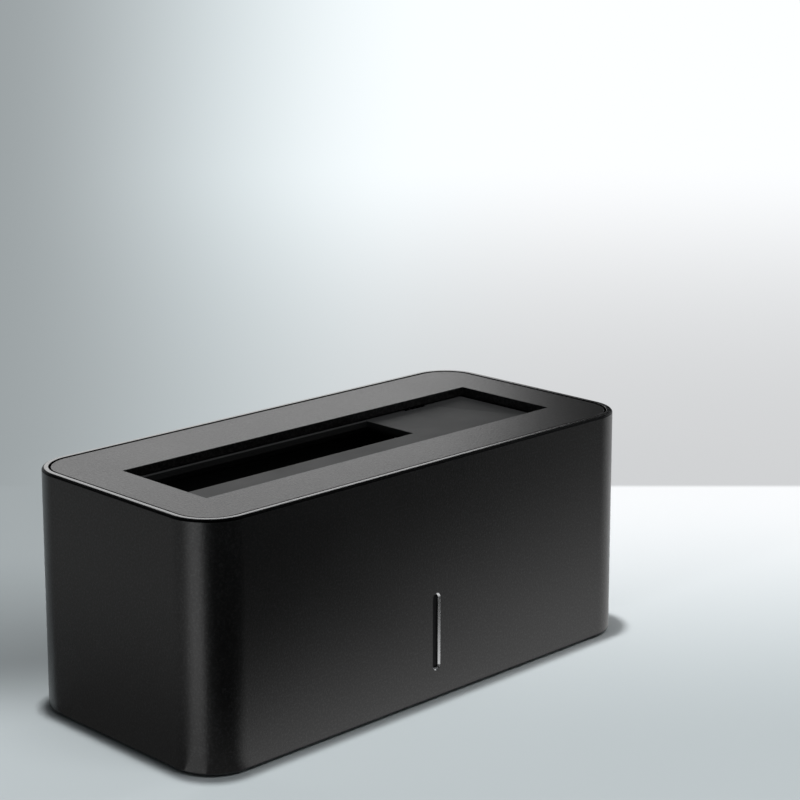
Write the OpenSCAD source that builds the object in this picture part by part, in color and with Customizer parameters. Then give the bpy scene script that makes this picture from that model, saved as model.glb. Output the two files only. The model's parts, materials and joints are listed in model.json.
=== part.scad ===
// Upright docking station for one hard drive: an extruded aluminium shell closed by a flush
// top plate with the drive slot and by a screwed base plate. Inside are the slot's liner with
// its sprung dust flap, and a board with the drive, data and power sockets.
// X runs along the front from left to right, Y from front to back and Z up.
// The origin is under the middle of the housing, on the table. All lengths are in millimetres.

/* [Housing] */
// Width of the housing, left to right
housing_w = 134; // [130:0.5:160]
// Depth of the housing, front to back
housing_d = 63; // [61:0.5:80]
// Height of the rim above the table
housing_h = 56; // [55:0.5:75]
// Radius of the four upright corners
corner_r = 10.5; // [8:0.5:12]
// Wall of the extruded shell
shell_wall = 2.8; // [2.5:0.1:3.2]
// Bare rim of the shell around the top plate and the base plate
rim_wall = 1.5; // [1.3:0.1:2]
// Rounding of the rim's outer edge
rim_round = 0.7; // [0.3:0.1:1.2]
// Rounding of the shell's lower outer edge
low_round = 0.5; // [0.3:0.1:1.2]
// Height of the shell's lower edge above the table
shell_lift = 0.5; // [0.4:0.1:1.2]

/* [Top and base plates] */
// Thickness of the top plate
plate_t = 2; // [1.6:0.1:3]
// Gap line between the rim and either plate
plate_gap = 0.5; // [0.2:0.05:0.6]
// How far the top plate lies below the rim
plate_sink = 0.1; // [0:0.05:0.4]
// Thickness of the base plate
base_t = 2.1; // [1.8:0.1:2.4]
// Radius of a rubber foot
foot_r = 4.5; // [3.5:0.1:5]
// Depth to which a rubber foot is let into the base plate
foot_inset = 0.8; // [0.4:0.1:1]

/* [Drive slot] */
// Length of the slot
slot_w = 107.6; // [106.6:0.1:109]
// Width of the slot, front to back
slot_d = 28.7; // [28.4:0.1:31]
// How far the middle of the slot lies in front of the middle of the housing
slot_forward = 1.95; // [0.5:0.05:4]
// Height at which a drive stands above the table
seat_z = 12.5; // [11.5:0.1:14]
// Width of the large drive
drive_w = 101.6; // [100:0.1:102.6]
// Thickness of the large drive
drive_t = 26.1; // [19:0.1:26.4]
// Width of the small drive
small_drive_w = 69.85; // [60:0.05:72]
// Thickness of the small drive
small_drive_t = 15; // [7:0.5:16]
// Play of a drive in its guides, on each side
drive_play = 0.4; // [0.2:0.05:0.6]
// Wall of the slot's liner
liner_wall = 1.6; // [1.2:0.1:2]
// Number of guide ribs on the liner's front wall
rib_count = 6; // [3:1:9]
// Thickness of a guide rib
rib_t = 1.5; // [1:0.1:2.5]

/* [Dust flap] */
// Thickness of the flap
flap_t = 1.6; // [1.2:0.1:2]
// How far the flap's front edge reaches under the top plate
flap_lap = 0.5; // [0.3:0.1:0.8]
// Gap between the flap and each end of the slot
flap_end_gap = 0.6; // [0.3:0.1:1]
// Radius of the hinge barrel along the flap's rear edge
barrel_r = 1.8; // [1.6:0.05:2]
// Radius of the steel hinge pin
pin_r = 1; // [0.8:0.05:1.1]
// Distance of the hinge behind the slot's rear edge
hinge_setback = 1.6; // [1.4:0.1:2]
// Height of the stiffening ribs under the flap
flap_rib = 1.2; // [0.6:0.1:1.5]
// Radius of the flap spring's wire
wire_r = 0.25; // [0.2:0.01:0.25]
// Turns of the flap spring
spring_turns = 6; // [4:1:8]

/* [Board] */
// Gap between the circuit board and the screw posts
board_gap = 1.5; // [1:0.1:3]
// Thickness of the circuit board
board_t = 1.6; // [1:0.1:1.6]
// Space between the base plate and the circuit board
board_lift = 1.6; // [1.5:0.1:2]
// Distance of the drive connector from the side of a drive
sata_from_side = 30.1; // [29:0.1:32]
// Distance of the drive connector from the rear face of a drive
sata_from_back = 3.5; // [3.4:0.1:4]
// Height of the drive connector above the board
sata_h = 11; // [10:0.1:12]

/* [Rear sockets and button] */
// Distance from the data socket in the middle to the power socket and to the button
port_pitch = 27; // [20:0.5:28]
// Length of the opening in the back of the shell
port_window_w = 74; // [72:0.5:86]
// How far the rear panel lies in from the back of the shell
panel_sink = 1.2; // [0.9:0.1:1.3]
// Width of the data socket
usb_w = 12; // [11.6:0.1:12.4]
// Height of the data socket
usb_h = 12.6; // [12.2:0.1:12.8]
// Length of the data socket
usb_len = 16.8; // [15:0.1:16.8]
// Radius of the power socket's bore
jack_bore_r = 2.9; // [2.8:0.05:3.1]
// Radius of the power socket's centre pin
jack_pin_r = 1.05; // [0.8:0.05:1.25]
// Radius of the power button
button_r = 3.5; // [2.5:0.1:4]
// Travel of the power button
button_travel = 1.2; // [0.8:0.1:1.4]

/* [Light slit] */
// Width of the slit in the front
slit_w = 1.6; // [1.2:0.1:2.4]
// Height of the slit's lower end above the table
slit_low = 7.5; // [7:0.5:12]
// Length of the slit
slit_h = 17.5; // [10:0.5:24]
// Bright bevel round the slit
slit_bevel = 0.45; // [0.2:0.05:0.8]
// Depth from the bevel to the light guide
slit_depth = 0.2; // [0.1:0.1:1]

/* [Hidden] */
$fn = 64;

// Clearances
seat_gap = 0.1;       // round a piece that sits in a cut-out
slip_gap = 0.05;      // between the hinge pin and what turns on it
press_gap = 0.02;     // between the hinge pin and its bosses, and the bite of a screw in its hole
move_gap = 0.4;       // round the moving flap
flange_gap = 0.3;     // between the liner's flange and the shell
flap_clear = 0.2;     // between the closed flap's barrel and the top plate

// Levels
base_top = shell_lift + base_t;
plate_top = housing_h - plate_sink;
plate_under = plate_top - plate_t;
board_under = base_top + board_lift;
board_top = board_under + board_t;

// Faces across the housing
back = housing_d / 2;
inner_w = housing_w - 2 * shell_wall;
inner_d = housing_d - 2 * shell_wall;
inner_back = inner_d / 2;
inner_r = corner_r - shell_wall;
rim_w = housing_w - 2 * rim_wall;
rim_d = housing_d - 2 * rim_wall;
rim_r = corner_r - rim_wall;

// The slot and the drives in it
slot_mid = -slot_forward;
slot_back = slot_mid + slot_d / 2;
slot_front = slot_mid - slot_d / 2;
drive_margin = 1.2;
drive_back = slot_back - drive_margin;
drive_front = drive_back - drive_t;
drive_left = -drive_w / 2;

// The flap's hinge and the room that the flap sweeps
hinge_y = slot_back + hinge_setback;
hinge_z = plate_under - flap_clear - barrel_r;
flap_top = hinge_z + barrel_r - 0.1;
flap_under = flap_top - flap_t;
flap_front = slot_front - flap_lap;
flap_half = slot_w / 2 - flap_end_gap;
tip_reach = norm([hinge_y - flap_front, flap_top - hinge_z]);
window_left = drive_left - drive_play;
window_right = drive_left + small_drive_w + drive_play;
window_back = min(drive_back + drive_play, hinge_y - barrel_r - 0.2);
window_front = drive_back - small_drive_t - drive_play;

// The liner's well: a pocket for the open flap above, a narrower foot below
well_half = slot_w / 2 + move_gap;
well_front = hinge_y - tip_reach - move_gap;
pocket_back = hinge_y + barrel_r + move_gap;
pocket_floor = hinge_z - tip_reach - move_gap;
shelf_t = 1.4;
rib_face_back = drive_back + drive_play;
foot_back = rib_face_back + 0.5;
foot_wall = 1.1;
floor_t = 1.6;
floor_under = seat_z - floor_t;
pocket_under = pocket_floor - shelf_t;

// Screw places
post_r = 3;
post_inset = 8.5;
post_x = housing_w / 2 - post_inset;
post_y = back - post_inset;
plate_screw_x = 38;
plate_screw_front = (well_front - liner_wall - inner_back) / 2;
plate_screw_back = (pocket_back + liner_wall + inner_back) / 2;
board_screw_x = drive_w / 2 - 6.5;
board_screw_front = well_front + 5;
board_screw_back = drive_back - 3;
foot_x = post_x - 9;
foot_y = post_y - 3.5;

// The board's parts
board_w = 2 * (post_x - post_r - board_gap);
board_front = -inner_back + 3.8;
board_back = inner_back - 1.8;
sata_x = drive_left + sata_from_side;
sata_y = drive_back - sata_from_back;
sata_w = 37.8;
sata_d = 5.6;

// The rear panel
panel_out = back - panel_sink;
panel_t = panel_out - inner_back;
panel_low = board_under + 0.4;
panel_high = board_top + usb_h + 1.6;
panel_mid_z = (panel_low + panel_high) / 2;
panel_h = panel_high - panel_low;
jack_z = board_top + 6.5;
button_z = board_top + 5.2;
jack_x = -port_pitch;
button_x = port_pitch;

// Room for the sockets and the switch: under the pocket, or behind it if it reaches down to them
socket_gap = 0.2;
socket_top = board_top + usb_h + socket_gap;
well_rear = pocket_under > socket_top ? foot_back + foot_wall : pocket_back + liner_wall;
socket_room = panel_out - well_rear - socket_gap;

// Flat shapes

module rounded_rect(w, d, r) {
    square([w, d - 2 * r], center = true);
    square([w - 2 * r, d], center = true);
    for (x = [-1, 1], y = [-1, 1])
        translate([x * (w / 2 - r), y * (d / 2 - r)])
            circle(r);
}

// The cut for a bevel round an obround hole in the front face, measured from the face inwards
module obround_bevel(w, h, bevel) {
    past = 0.1;
    wide = w / 2 + bevel + past;
    rotate([-90, 0, 0]) {
        for (z = [-1, 1])
            translate([0, z * (h - w) / 2, -past])
                cylinder(r1 = wide, r2 = w / 2, h = bevel + past);
        rotate([90, 0, 0])
            linear_extrude(h - w, center = true)
                polygon([[-wide, -past], [wide, -past], [w / 2, bevel], [-w / 2, bevel]]);
    }
}

// A wall's upright section, w wide, with its upper and lower outer corners rounded
module eased_section(w, h, up_r, low_r) {
    translate([-w / 2, low_r])
        square([w, h - low_r - up_r]);
    translate([-w / 2 + up_r, h - up_r])
        square([w - 2 * up_r, up_r]);
    translate([-w / 2 + low_r, 0])
        square([w - 2 * low_r, low_r]);
    for (x = [-1, 1]) {
        translate([x * (w / 2 - up_r), h - up_r])
            circle(up_r);
        translate([x * (w / 2 - low_r), low_r])
            circle(low_r);
    }
}

module obround(w, h) {
    square([w, h - w], center = true);
    for (z = [-1, 1])
        translate([0, z * (h - w) / 2])
            circle(w / 2);
}

// Solids

module at_corners(x, y) {
    for (sx = [-1, 1], sy = [-1, 1])
        translate([sx * x, sy * y])
            children();
}

// A box given by its faces
module box(x, y, z) {
    translate([x[0], y[0], z[0]])
        cube([x[1] - x[0], y[1] - y[0], z[1] - z[0]]);
}

// A block with round upright corners and eased upper and lower outer edges
module eased_block(w, d, h, r, up_r, low_r) {
    at_corners(w / 2 - r, d / 2 - r)
        rotate_extrude()
            intersection() {
                eased_section(2 * r, h, up_r, low_r);
                square([r, h]);
            }
    rotate([90, 0, 0])
        linear_extrude(d - 2 * r, center = true)
            eased_section(w, h, up_r, low_r);
    rotate([90, 0, 90])
        linear_extrude(w - 2 * r, center = true)
            eased_section(d, h, up_r, low_r);
}

// An upright web between two places on the plan
module web(from, to, t, z) {
    run = to - from;
    translate([from[0], from[1], z[0]])
        rotate([0, 0, atan2(run[1], run[0])])
            translate([0, -t / 2, 0])
                cube([norm(run), t, z[1] - z[0]]);
}

// A flat shape drawn in x and z, run backwards from y by depth
module run_back(y, depth) {
    translate([0, y + depth, 0])
        rotate([90, 0, 0])
            linear_extrude(depth)
                children();
}

// A pan-head screw that points up, with its head's top face at the origin
module screw(head_r, head_h, shank_r, shank_len) {
    recess_r = head_r * 0.3;
    difference() {
        union() {
            translate([0, 0, -head_h])
                cylinder(r = head_r, h = head_h);
            cylinder(r = shank_r, h = shank_len);
        }
        for (turn = [0, 90])
            rotate([0, 0, turn])
                translate([-recess_r * 1.6, -recess_r / 3, -head_h - 1])
                    cube([recess_r * 3.2, recess_r / 1.5, 1 + head_h * 0.55]);
    }
}

// Wire swept along a path

function unit(v) = v / norm(v);
function along(path, i) = unit(path[min(i + 1, len(path) - 1)] - path[max(i - 1, 0)]);
function square_to(t, n) = unit(n - (n * t) * t);
function sides_of(path, i, n) = i == len(path) ? [] :
    let (side = square_to(along(path, i), n)) concat([side], sides_of(path, i + 1, side));

module wire(path, r, start_side, edges = 8) {
    last = len(path) - 1;
    side = sides_of(path, 0, start_side);
    points = [
        for (i = [0 : last])
            let (t = along(path, i), n = side[i], b = cross(t, n))
            for (k = [0 : edges - 1])
                path[i] + r * (cos(360 * k / edges) * n + sin(360 * k / edges) * b)
    ];
    skin = [
        for (i = [0 : last - 1], k = [0 : edges - 1])
            let (a = i * edges + k, b = i * edges + (k + 1) % edges)
            each [[a, b + edges, b], [a, a + edges, b + edges]]
    ];
    caps = [
        [for (k = [0 : edges - 1]) k],
        [for (k = [0 : edges - 1]) last * edges + edges - 1 - k]
    ];
    polyhedron(points, concat(skin, caps));
}

// Housing

module outer_shell() {
    color("#2b2c2f")
        difference() {
            translate([0, 0, shell_lift])
                eased_block(housing_w, housing_d, housing_h - shell_lift, corner_r, rim_round, low_round);
            translate([0, 0, base_top - 1])
                linear_extrude(plate_under - base_top + 2)
                    rounded_rect(inner_w, inner_d, inner_r);
            translate([0, 0, plate_under])
                linear_extrude(housing_h)
                    rounded_rect(rim_w, rim_d, rim_r);
            translate([0, 0, base_top - housing_h])
                linear_extrude(housing_h)
                    rounded_rect(rim_w, rim_d, rim_r);
            run_back(-back - 1, shell_wall + 2)
                translate([0, slit_low + slit_h / 2])
                    obround(slit_w, slit_h);
            translate([0, -back, slit_low + slit_h / 2])
                obround_bevel(slit_w, slit_h, slit_bevel);
            run_back(inner_back - 1, shell_wall + 2)
                translate([0, panel_mid_z])
                    rounded_rect(port_window_w, panel_h, 3);
        }
}

plate_boss_r = 2.2;
plate_boss_h = liner_wall - 0.2;
plate_pilot_r = 0.8;

module at_plate_screws() {
    for (x = [-1, 1], y = [plate_screw_front, plate_screw_back])
        translate([x * plate_screw_x, y])
            children();
}

module top_plate() {
    color("#4a4b4e")
        difference() {
            union() {
                translate([0, 0, plate_under])
                    linear_extrude(plate_t)
                        rounded_rect(rim_w - 2 * plate_gap, rim_d - 2 * plate_gap, rim_r - plate_gap);
                at_plate_screws()
                    translate([0, 0, plate_under - plate_boss_h])
                        cylinder(r = plate_boss_r, h = plate_boss_h + 0.5);
            }
            box([-slot_w / 2, slot_w / 2], [slot_front, slot_back], [plate_under - 1, plate_top + 1]);
            at_plate_screws()
                translate([0, 0, plate_under - plate_boss_h - 1])
                    cylinder(r = plate_pilot_r, h = plate_boss_h + 1 + plate_t * 0.7);
        }
}

module plate_screws() {
    color("silver")
        at_plate_screws()
            translate([0, 0, plate_under - liner_wall])
                screw(2.9, 1.1, plate_pilot_r + press_gap, plate_boss_h + plate_t * 0.6);
}

// Slot liner

// A guide rib with a sloped lead-in, drawn from its wall towards the drive
module guide_rib(depth, low, high) {
    lead = min(2.5 * depth, (high - low) / 2);
    rotate([90, 0, 90])
        linear_extrude(rib_t, center = true)
            polygon([[0, low], [depth, low], [depth, high - lead], [0, high]]);
}

module liner_ribs() {
    front_depth = drive_front - drive_play - well_front;
    front_high = hinge_z - sqrt(pow(tip_reach, 2) - pow(hinge_y - well_front - front_depth, 2)) - 1;
    rib_pitch = drive_w / rib_count;
    for (i = [0 : rib_count - 1])
        translate([drive_left + rib_pitch * (i + 0.5), well_front, 0])
            guide_rib(front_depth, seat_z, front_high);
    for (i = [0 : rib_count - 1])
        translate([drive_left + rib_pitch * (i + 0.5), foot_back, 0])
            mirror([0, 1, 0])
                guide_rib(foot_back - rib_face_back, seat_z, pocket_floor);
    end_depth = well_half - drive_w / 2 - drive_play;
    end_high = hinge_z - sqrt(pow(tip_reach, 2) - pow(hinge_y - slot_mid - 3 * rib_t, 2)) - 1;
    for (side = [-1, 1], y = [-2, 0, 2])
        translate([side * well_half, slot_mid + y * rib_t, 0])
            rotate([0, 0, side * 90])
                guide_rib(end_depth, seat_z, end_high);
}

hinge_boss_r = 2.6;
hinge_boss_t = 1.2;
sata_window_gap = 0.4;

module slot_liner() {
    color("#1b1c1e") {
        difference() {
            union() {
                // The pocket that the open flap hangs in, and the foot of the well under it
                box([-well_half - liner_wall, well_half + liner_wall],
                    [well_front - liner_wall, pocket_back + liner_wall],
                    [pocket_under, plate_under]);
                box([-well_half - liner_wall, well_half + liner_wall],
                    [well_front - liner_wall, foot_back + foot_wall],
                    [floor_under, pocket_floor]);
                translate([0, 0, plate_under - liner_wall])
                    linear_extrude(liner_wall)
                        rounded_rect(inner_w - 2 * flange_gap, inner_d - 2 * flange_gap, inner_r - flange_gap);
                at_corners(post_x, post_y)
                    translate([0, 0, base_top])
                        cylinder(r = post_r, h = plate_under - base_top);
                for (side = [-1, 1]) {
                    web([side * post_x, -post_y], [side * well_half, well_front], liner_wall,
                        [floor_under, plate_under]);
                    web([side * post_x, post_y], [side * well_half, pocket_back], liner_wall,
                        [pocket_under, plate_under]);
                    for (y = [board_screw_front, board_screw_back])
                        translate([side * board_screw_x, y, board_top])
                            cylinder(r = post_r, h = floor_under - board_top + 0.5);
                }
                translate([-well_half - liner_wall - hinge_boss_t, hinge_y, hinge_z])
                    rotate([0, 90, 0])
                        cylinder(r = hinge_boss_r, h = 2 * (well_half + liner_wall + hinge_boss_t));
            }
            box([-well_half, well_half], [well_front, pocket_back], [pocket_floor, plate_under + 1]);
            box([-well_half, well_half], [well_front, foot_back], [seat_z, plate_under + 1]);
            box([sata_x - sata_w / 2 - sata_window_gap, sata_x + sata_w / 2 + sata_window_gap],
                [sata_y - sata_d / 2 - sata_window_gap, sata_y + sata_d / 2 + sata_window_gap],
                [floor_under - 1, seat_z + 1]);
            translate([-housing_w, hinge_y, hinge_z])
                rotate([0, 90, 0])
                    cylinder(r = pin_r + press_gap, h = 2 * housing_w);
            box([-housing_w, housing_w], [-housing_d, housing_d], [plate_under, housing_h]);
            at_plate_screws()
                translate([0, 0, plate_under - liner_wall - 1])
                    cylinder(r = plate_boss_r + seat_gap, h = liner_wall + 2);
            at_corners(post_x, post_y)
                translate([0, 0, base_top - 1])
                    cylinder(r = base_pilot_r, h = base_screw_len + 2);
            for (x = [-1, 1], y = [board_screw_front, board_screw_back])
                translate([x * board_screw_x, y, board_top - 1])
                    cylinder(r = board_pilot_r, h = board_screw_len + 1);
        }
        liner_ribs();
    }
}

// Dust flap

spring_x = (window_right + flap_half) / 2;
spring_mean_r = pin_r + 0.15 + wire_r;
spring_pitch = 2 * wire_r + 0.5;
spring_len = spring_turns * spring_pitch;
spring_room = spring_len / 2 + wire_r + move_gap;

module dust_flap() {
    color("#232427")
        difference() {
            union() {
                box([-flap_half, flap_half], [flap_front, hinge_y], [flap_under, flap_top]);
                translate([-flap_half, hinge_y, hinge_z])
                    rotate([0, 90, 0])
                        cylinder(r = barrel_r, h = 2 * flap_half);
                // Stiffening ribs round the underside
                for (y = [flap_front + move_gap, window_front - 2 * rib_t])
                    box([-flap_half + 1, flap_half - 1], [y, y + rib_t], [flap_under - flap_rib, flap_top - 0.5]);
                for (x = [window_right + rib_t, spring_x + 2 * spring_room, flap_half - 1 - rib_t])
                    box([x, x + rib_t], [flap_front + move_gap, hinge_y - barrel_r],
                        [flap_under - flap_rib, flap_top - 0.5]);
            }
            box([window_left, window_right], [window_front, window_back],
                [flap_under - flap_rib - 1, flap_top + 1]);
            translate([-housing_w, hinge_y, hinge_z])
                rotate([0, 90, 0])
                    cylinder(r = pin_r + slip_gap, h = 2 * housing_w);
            box([spring_x - spring_room, spring_x + spring_room],
                [hinge_y - barrel_r - move_gap, hinge_y + barrel_r + 1],
                [hinge_z - barrel_r - 1, plate_top]);
        }
}

module hinge_pin() {
    color("silver")
        translate([-well_half - liner_wall - hinge_boss_t, hinge_y, hinge_z])
            rotate([0, 90, 0])
                cylinder(r = pin_r, h = 2 * (well_half + liner_wall + hinge_boss_t));
}

// Least gap between places on the wire that lie at least some steps apart
function least_gap(path, apart) = min([
    for (i = [0 : len(path) - 1 - apart], j = [i + apart : len(path) - 1]) norm(path[i] - path[j])
]) - 2 * wire_r;

module flap_spring() {
    enters = -135;
    leaves = -90 - 360 * spring_turns;
    steps = 16 * spring_turns;
    wall_y = pocket_back - wire_r - seat_gap;
    coil = [
        for (i = [0 : steps])
            let (a = enters + (leaves - enters) * i / steps)
            [spring_x - spring_len / 2 + spring_len * i / steps,
             hinge_y + spring_mean_r * cos(a),
             hinge_z + spring_mean_r * sin(a)]
    ];
    drop = wall_y - coil[0][1];
    bend = 2.4 * wire_r;
    fixed_leg = [
        [coil[0][0], wall_y, coil[0][2] - drop - 4 * barrel_r],
        [coil[0][0], wall_y, coil[0][2] - drop - bend],
        [coil[0][0], wall_y - bend, coil[0][2] - drop + bend],
        (coil[0] + [coil[0][0], wall_y, coil[0][2] - drop]) / 2
    ];
    echo(least_gap_in_spring = least_gap(coil, steps / spring_turns / 2));
    end = coil[steps];
    push_z = flap_under - wire_r - seat_gap;
    free_leg = [
        [end[0], end[1] - 4 * wire_r, end[2]],
        [end[0], end[1] - 16 * wire_r, push_z - bend / 2],
        [end[0], end[1] - 20 * wire_r, push_z],
        [end[0], end[1] - 6 * barrel_r, push_z]
    ];
    color("gainsboro")
        wire(concat(fixed_leg, coil, free_leg), wire_r, [1, 0, 0]);
}

// Base

base_shank_r = 1.25;
base_pilot_r = base_shank_r - press_gap;
base_screw_len = 10;
base_head_r = 2.7;
base_head_h = 0.9;

module base_plate() {
    color("#202123")
        difference() {
            translate([0, 0, shell_lift])
                linear_extrude(base_t)
                    rounded_rect(rim_w - 2 * plate_gap, rim_d - 2 * plate_gap, rim_r - plate_gap);
            at_corners(post_x, post_y) {
                translate([0, 0, -1])
                    cylinder(r = base_shank_r + seat_gap, h = base_top + 2);
                translate([0, 0, shell_lift - 1])
                    cylinder(r = base_head_r + seat_gap * 2, h = base_head_h + 1);
            }
            at_corners(foot_x, foot_y)
                translate([0, 0, shell_lift - 1])
                    cylinder(r = foot_r + seat_gap, h = foot_inset + 1);
        }
}

module base_screws() {
    color("dimgray")
        at_corners(post_x, post_y)
            translate([0, 0, shell_lift + base_head_h])
                screw(base_head_r, base_head_h, base_shank_r, base_screw_len);
}

module rubber_feet() {
    color("#151515")
        at_corners(foot_x, foot_y)
            rotate_extrude()
                difference() {
                    square([foot_r, shell_lift + foot_inset]);
                    translate([foot_r - 0.4, 0])
                        polygon([[0, -1], [1, -1], [1, 0.6], [0.4, 0.4], [0, 0]]);
                }
}

// Board

board_shank_r = 1;
board_pilot_r = board_shank_r - press_gap;
board_screw_len = 4.5;
board_head_h = 1.1;

module main_board() {
    color("#14532d")
        difference() {
            translate([0, (board_front + board_back) / 2, board_under])
                linear_extrude(board_t)
                    rounded_rect(board_w, board_back - board_front, 2);
            for (x = [-1, 1], y = [board_screw_front, board_screw_back])
                translate([x * board_screw_x, y, 0])
                    cylinder(r = board_shank_r + 0.3, h = housing_h);
        }
}

module board_screws() {
    color("silver")
        for (x = [-1, 1], y = [board_screw_front, board_screw_back])
            translate([x * board_screw_x, y, board_under])
                screw(2.2, board_head_h, board_shank_r, board_t + board_screw_len - 0.5);
}

// Drive connector: seven data contacts on the left and fifteen power contacts on the right

contact_pitch = 1.27;
pocket_w = 2;
pocket_depth = 6;
key_w = 1.3;
data_count = 7;
power_count = 15;
section_wall = 0.7;
data_len = data_count * contact_pitch + 1.6;
power_len = power_count * contact_pitch + 1.6;
section_gap = sata_w - data_len - power_len - 2 * 2.4;
data_x = sata_x - sata_w / 2 + 2.4;
power_x = data_x + data_len + section_gap;
sata_top = board_top + sata_h;

module sata_pocket(x, len) {
    box([x, x + len], [sata_y - pocket_w / 2, sata_y + pocket_w / 2], [sata_top - pocket_depth, sata_top + 1]);
    box([x, x + key_w], [sata_y - pocket_w / 2, sata_y + pocket_w / 2 + key_w - 0.2],
        [sata_top - pocket_depth, sata_top + 1]);
}

module sata_receptacle() {
    color("#101010")
        difference() {
            union() {
                translate([sata_x, sata_y, board_top])
                    linear_extrude(sata_h)
                        rounded_rect(sata_w, sata_d, 0.6);
                // A wider foot on the board, under the liner's floor
                box([sata_x - sata_w / 2 - 1.6, sata_x + sata_w / 2 + 1.6],
                    [sata_y - sata_d / 2 - 0.8, sata_y + sata_d / 2 + 0.8],
                    [board_top, floor_under - 1]);
            }
            sata_pocket(data_x, data_len);
            sata_pocket(power_x, power_len);
            // Sloped mouth that leads the drive's plug in
            translate([sata_x, sata_y + sata_d / 2, sata_top])
                rotate([45, 0, 0])
                    cube([sata_w + 2, 0.7, 0.7], center = true);
            translate([sata_x, sata_y - sata_d / 2, sata_top])
                rotate([45, 0, 0])
                    cube([sata_w + 2, 0.7, 0.7], center = true);
        }
}

// A contact: a flat spring with a bow near its top, seen from the side
module sata_contact() {
    low = sata_top - pocket_depth + 0.1;
    high = sata_top - 0.8;
    face = sata_y - pocket_w / 2 + seat_gap;
    rotate([90, 0, 90])
        linear_extrude(0.6, center = true)
            polygon([
                [face, low], [face + 0.3, low], [face + 0.3, high - 2.6], [face + 0.9, high - 1.4],
                [face + 0.3, high], [face, high], [face + 0.5, high - 1.4], [face, high - 2.4]
            ]);
}

module sata_contacts() {
    color("gold") {
        for (i = [0 : data_count - 1])
            translate([data_x + data_len / 2 + (i - (data_count - 1) / 2) * contact_pitch, 0, 0])
                sata_contact();
        for (i = [0 : power_count - 1])
            translate([power_x + power_len / 2 + (i - (power_count - 1) / 2) * contact_pitch, 0, 0])
                sata_contact();
    }
}

// Data socket: a tall square socket with a narrower upper bay

usb_sheet = 0.4;
usb_body_len = min(usb_len, socket_room);
usb_front = panel_out - usb_body_len;
usb_core_len = 0.3 * usb_body_len;
usb_tongue_back = panel_out - 0.155 * usb_body_len;
low_tongue = [2.9, 6.1];
high_tongue = [9.6, 10.9];
usb_contact_t = 0.25;

// The socket's outline, drawn from the board up and drawn in by a margin
module usb_outline(margin) {
    half = usb_w / 2 - margin;
    bay_half = usb_w / 2 - 2 - margin;
    step_z = 8.8 - margin / 2;
    top_z = usb_h - margin;
    polygon([
        [-half, margin], [half, margin], [half, step_z - 1.4], [half - 1.4, step_z],
        [bay_half + 0.2, step_z], [bay_half, step_z + 0.4], [bay_half, top_z - 0.8], [bay_half - 0.8, top_z],
        [0.8 - bay_half, top_z], [-bay_half, top_z - 0.8], [-bay_half, step_z + 0.4], [-bay_half - 0.2, step_z],
        [1.4 - half, step_z], [-half, step_z - 1.4]
    ]);
}

module usb_socket_shell() {
    color("lightgray")
        translate([0, 0, board_top])
            difference() {
                run_back(usb_front, usb_len)
                    usb_outline(0);
                run_back(usb_front + usb_sheet, usb_len)
                    usb_outline(usb_sheet);
            }
}

module usb_socket_core() {
    core_front = usb_front + usb_sheet;
    color("#1f3f9c")
        translate([0, 0, board_top]) {
            run_back(core_front, usb_core_len)
                usb_outline(usb_sheet + slip_gap);
            box([-2.8, 2.8], [core_front + usb_core_len - 0.5, usb_tongue_back], low_tongue);
            box([-2.6, 2.6], [core_front + usb_core_len - 0.5, usb_tongue_back], high_tongue);
        }
}

module usb_contacts() {
    run = [usb_front + usb_sheet + usb_core_len + 0.1, usb_tongue_back - 0.6];
    lift = 0.02;
    color("gold")
        translate([0, 0, board_top]) {
            for (x = [-1.25, 1.25], z = [low_tongue[0] - usb_contact_t - lift, low_tongue[1] + lift])
                box([x - 0.4, x + 0.4], run, [z, z + usb_contact_t]);
            for (i = [-2 : 2])
                box([i - 0.25, i + 0.25], run, [high_tongue[0] - usb_contact_t - lift, high_tongue[0] - lift]);
        }
}

// Power socket

jack_w = 9;
jack_len = 14;
jack_body_len = min(jack_len, socket_room);
jack_collar_r = 4.2;
jack_bore_len = 9.5;
jack_root_r = jack_pin_r + 0.3;
jack_root_in = 3;
jack_root_len = min(jack_root_in, jack_body_len - jack_bore_len - 0.5);
jack_nose = 1.6;
jack_slot_z = board_top + 2;

module jack_housing() {
    color("#151515")
        difference() {
            union() {
                box([jack_x - jack_w / 2, jack_x + jack_w / 2], [panel_out - jack_body_len, inner_back - jack_nose],
                    [board_top, jack_z + jack_w / 2]);
                translate([jack_x, panel_out, jack_z])
                    rotate([90, 0, 0])
                        cylinder(r = jack_collar_r, h = jack_body_len - 1);
            }
            translate([jack_x, panel_out + 1, jack_z])
                rotate([90, 0, 0])
                    cylinder(r = jack_bore_r, h = jack_bore_len + 1);
            translate([jack_x, panel_out, jack_z])
                rotate([90, 0, 0])
                    cylinder(r = jack_root_r + press_gap, h = jack_bore_len + jack_root_len);
            // Slot under the bore for the side contact
            box([jack_x - 1.2, jack_x + 1.2], [panel_out - jack_bore_len, panel_out - 1.5],
                [jack_slot_z, jack_z]);
        }
}

module jack_pin() {
    tip_sink = 1.2;
    color("silver")
        translate([jack_x, panel_out - tip_sink, jack_z])
            rotate([90, 0, 0]) {
                cylinder(r = jack_pin_r, h = jack_bore_len - tip_sink);
                translate([0, 0, jack_bore_len - tip_sink])
                    cylinder(r = jack_root_r, h = jack_root_len);
            }
}

module jack_contact() {
    far = panel_out - jack_bore_len + 0.2;
    near = panel_out - 2;
    low = jack_slot_z + slip_gap;
    touch = jack_z - jack_bore_r + 0.1;
    color("lightgray")
        translate([jack_x, 0, 0])
            rotate([90, 0, 90])
                linear_extrude(2, center = true)
                    polygon([
                        [far, low], [far + 1.2, low], [(far + near) / 2, touch - 0.3], [near, low + 0.3],
                        [near, low + 0.6], [(far + near) / 2, touch], [far + 0.9, low + 0.3], [far, low + 0.3]
                    ]);
}

// Power switch and button

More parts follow.
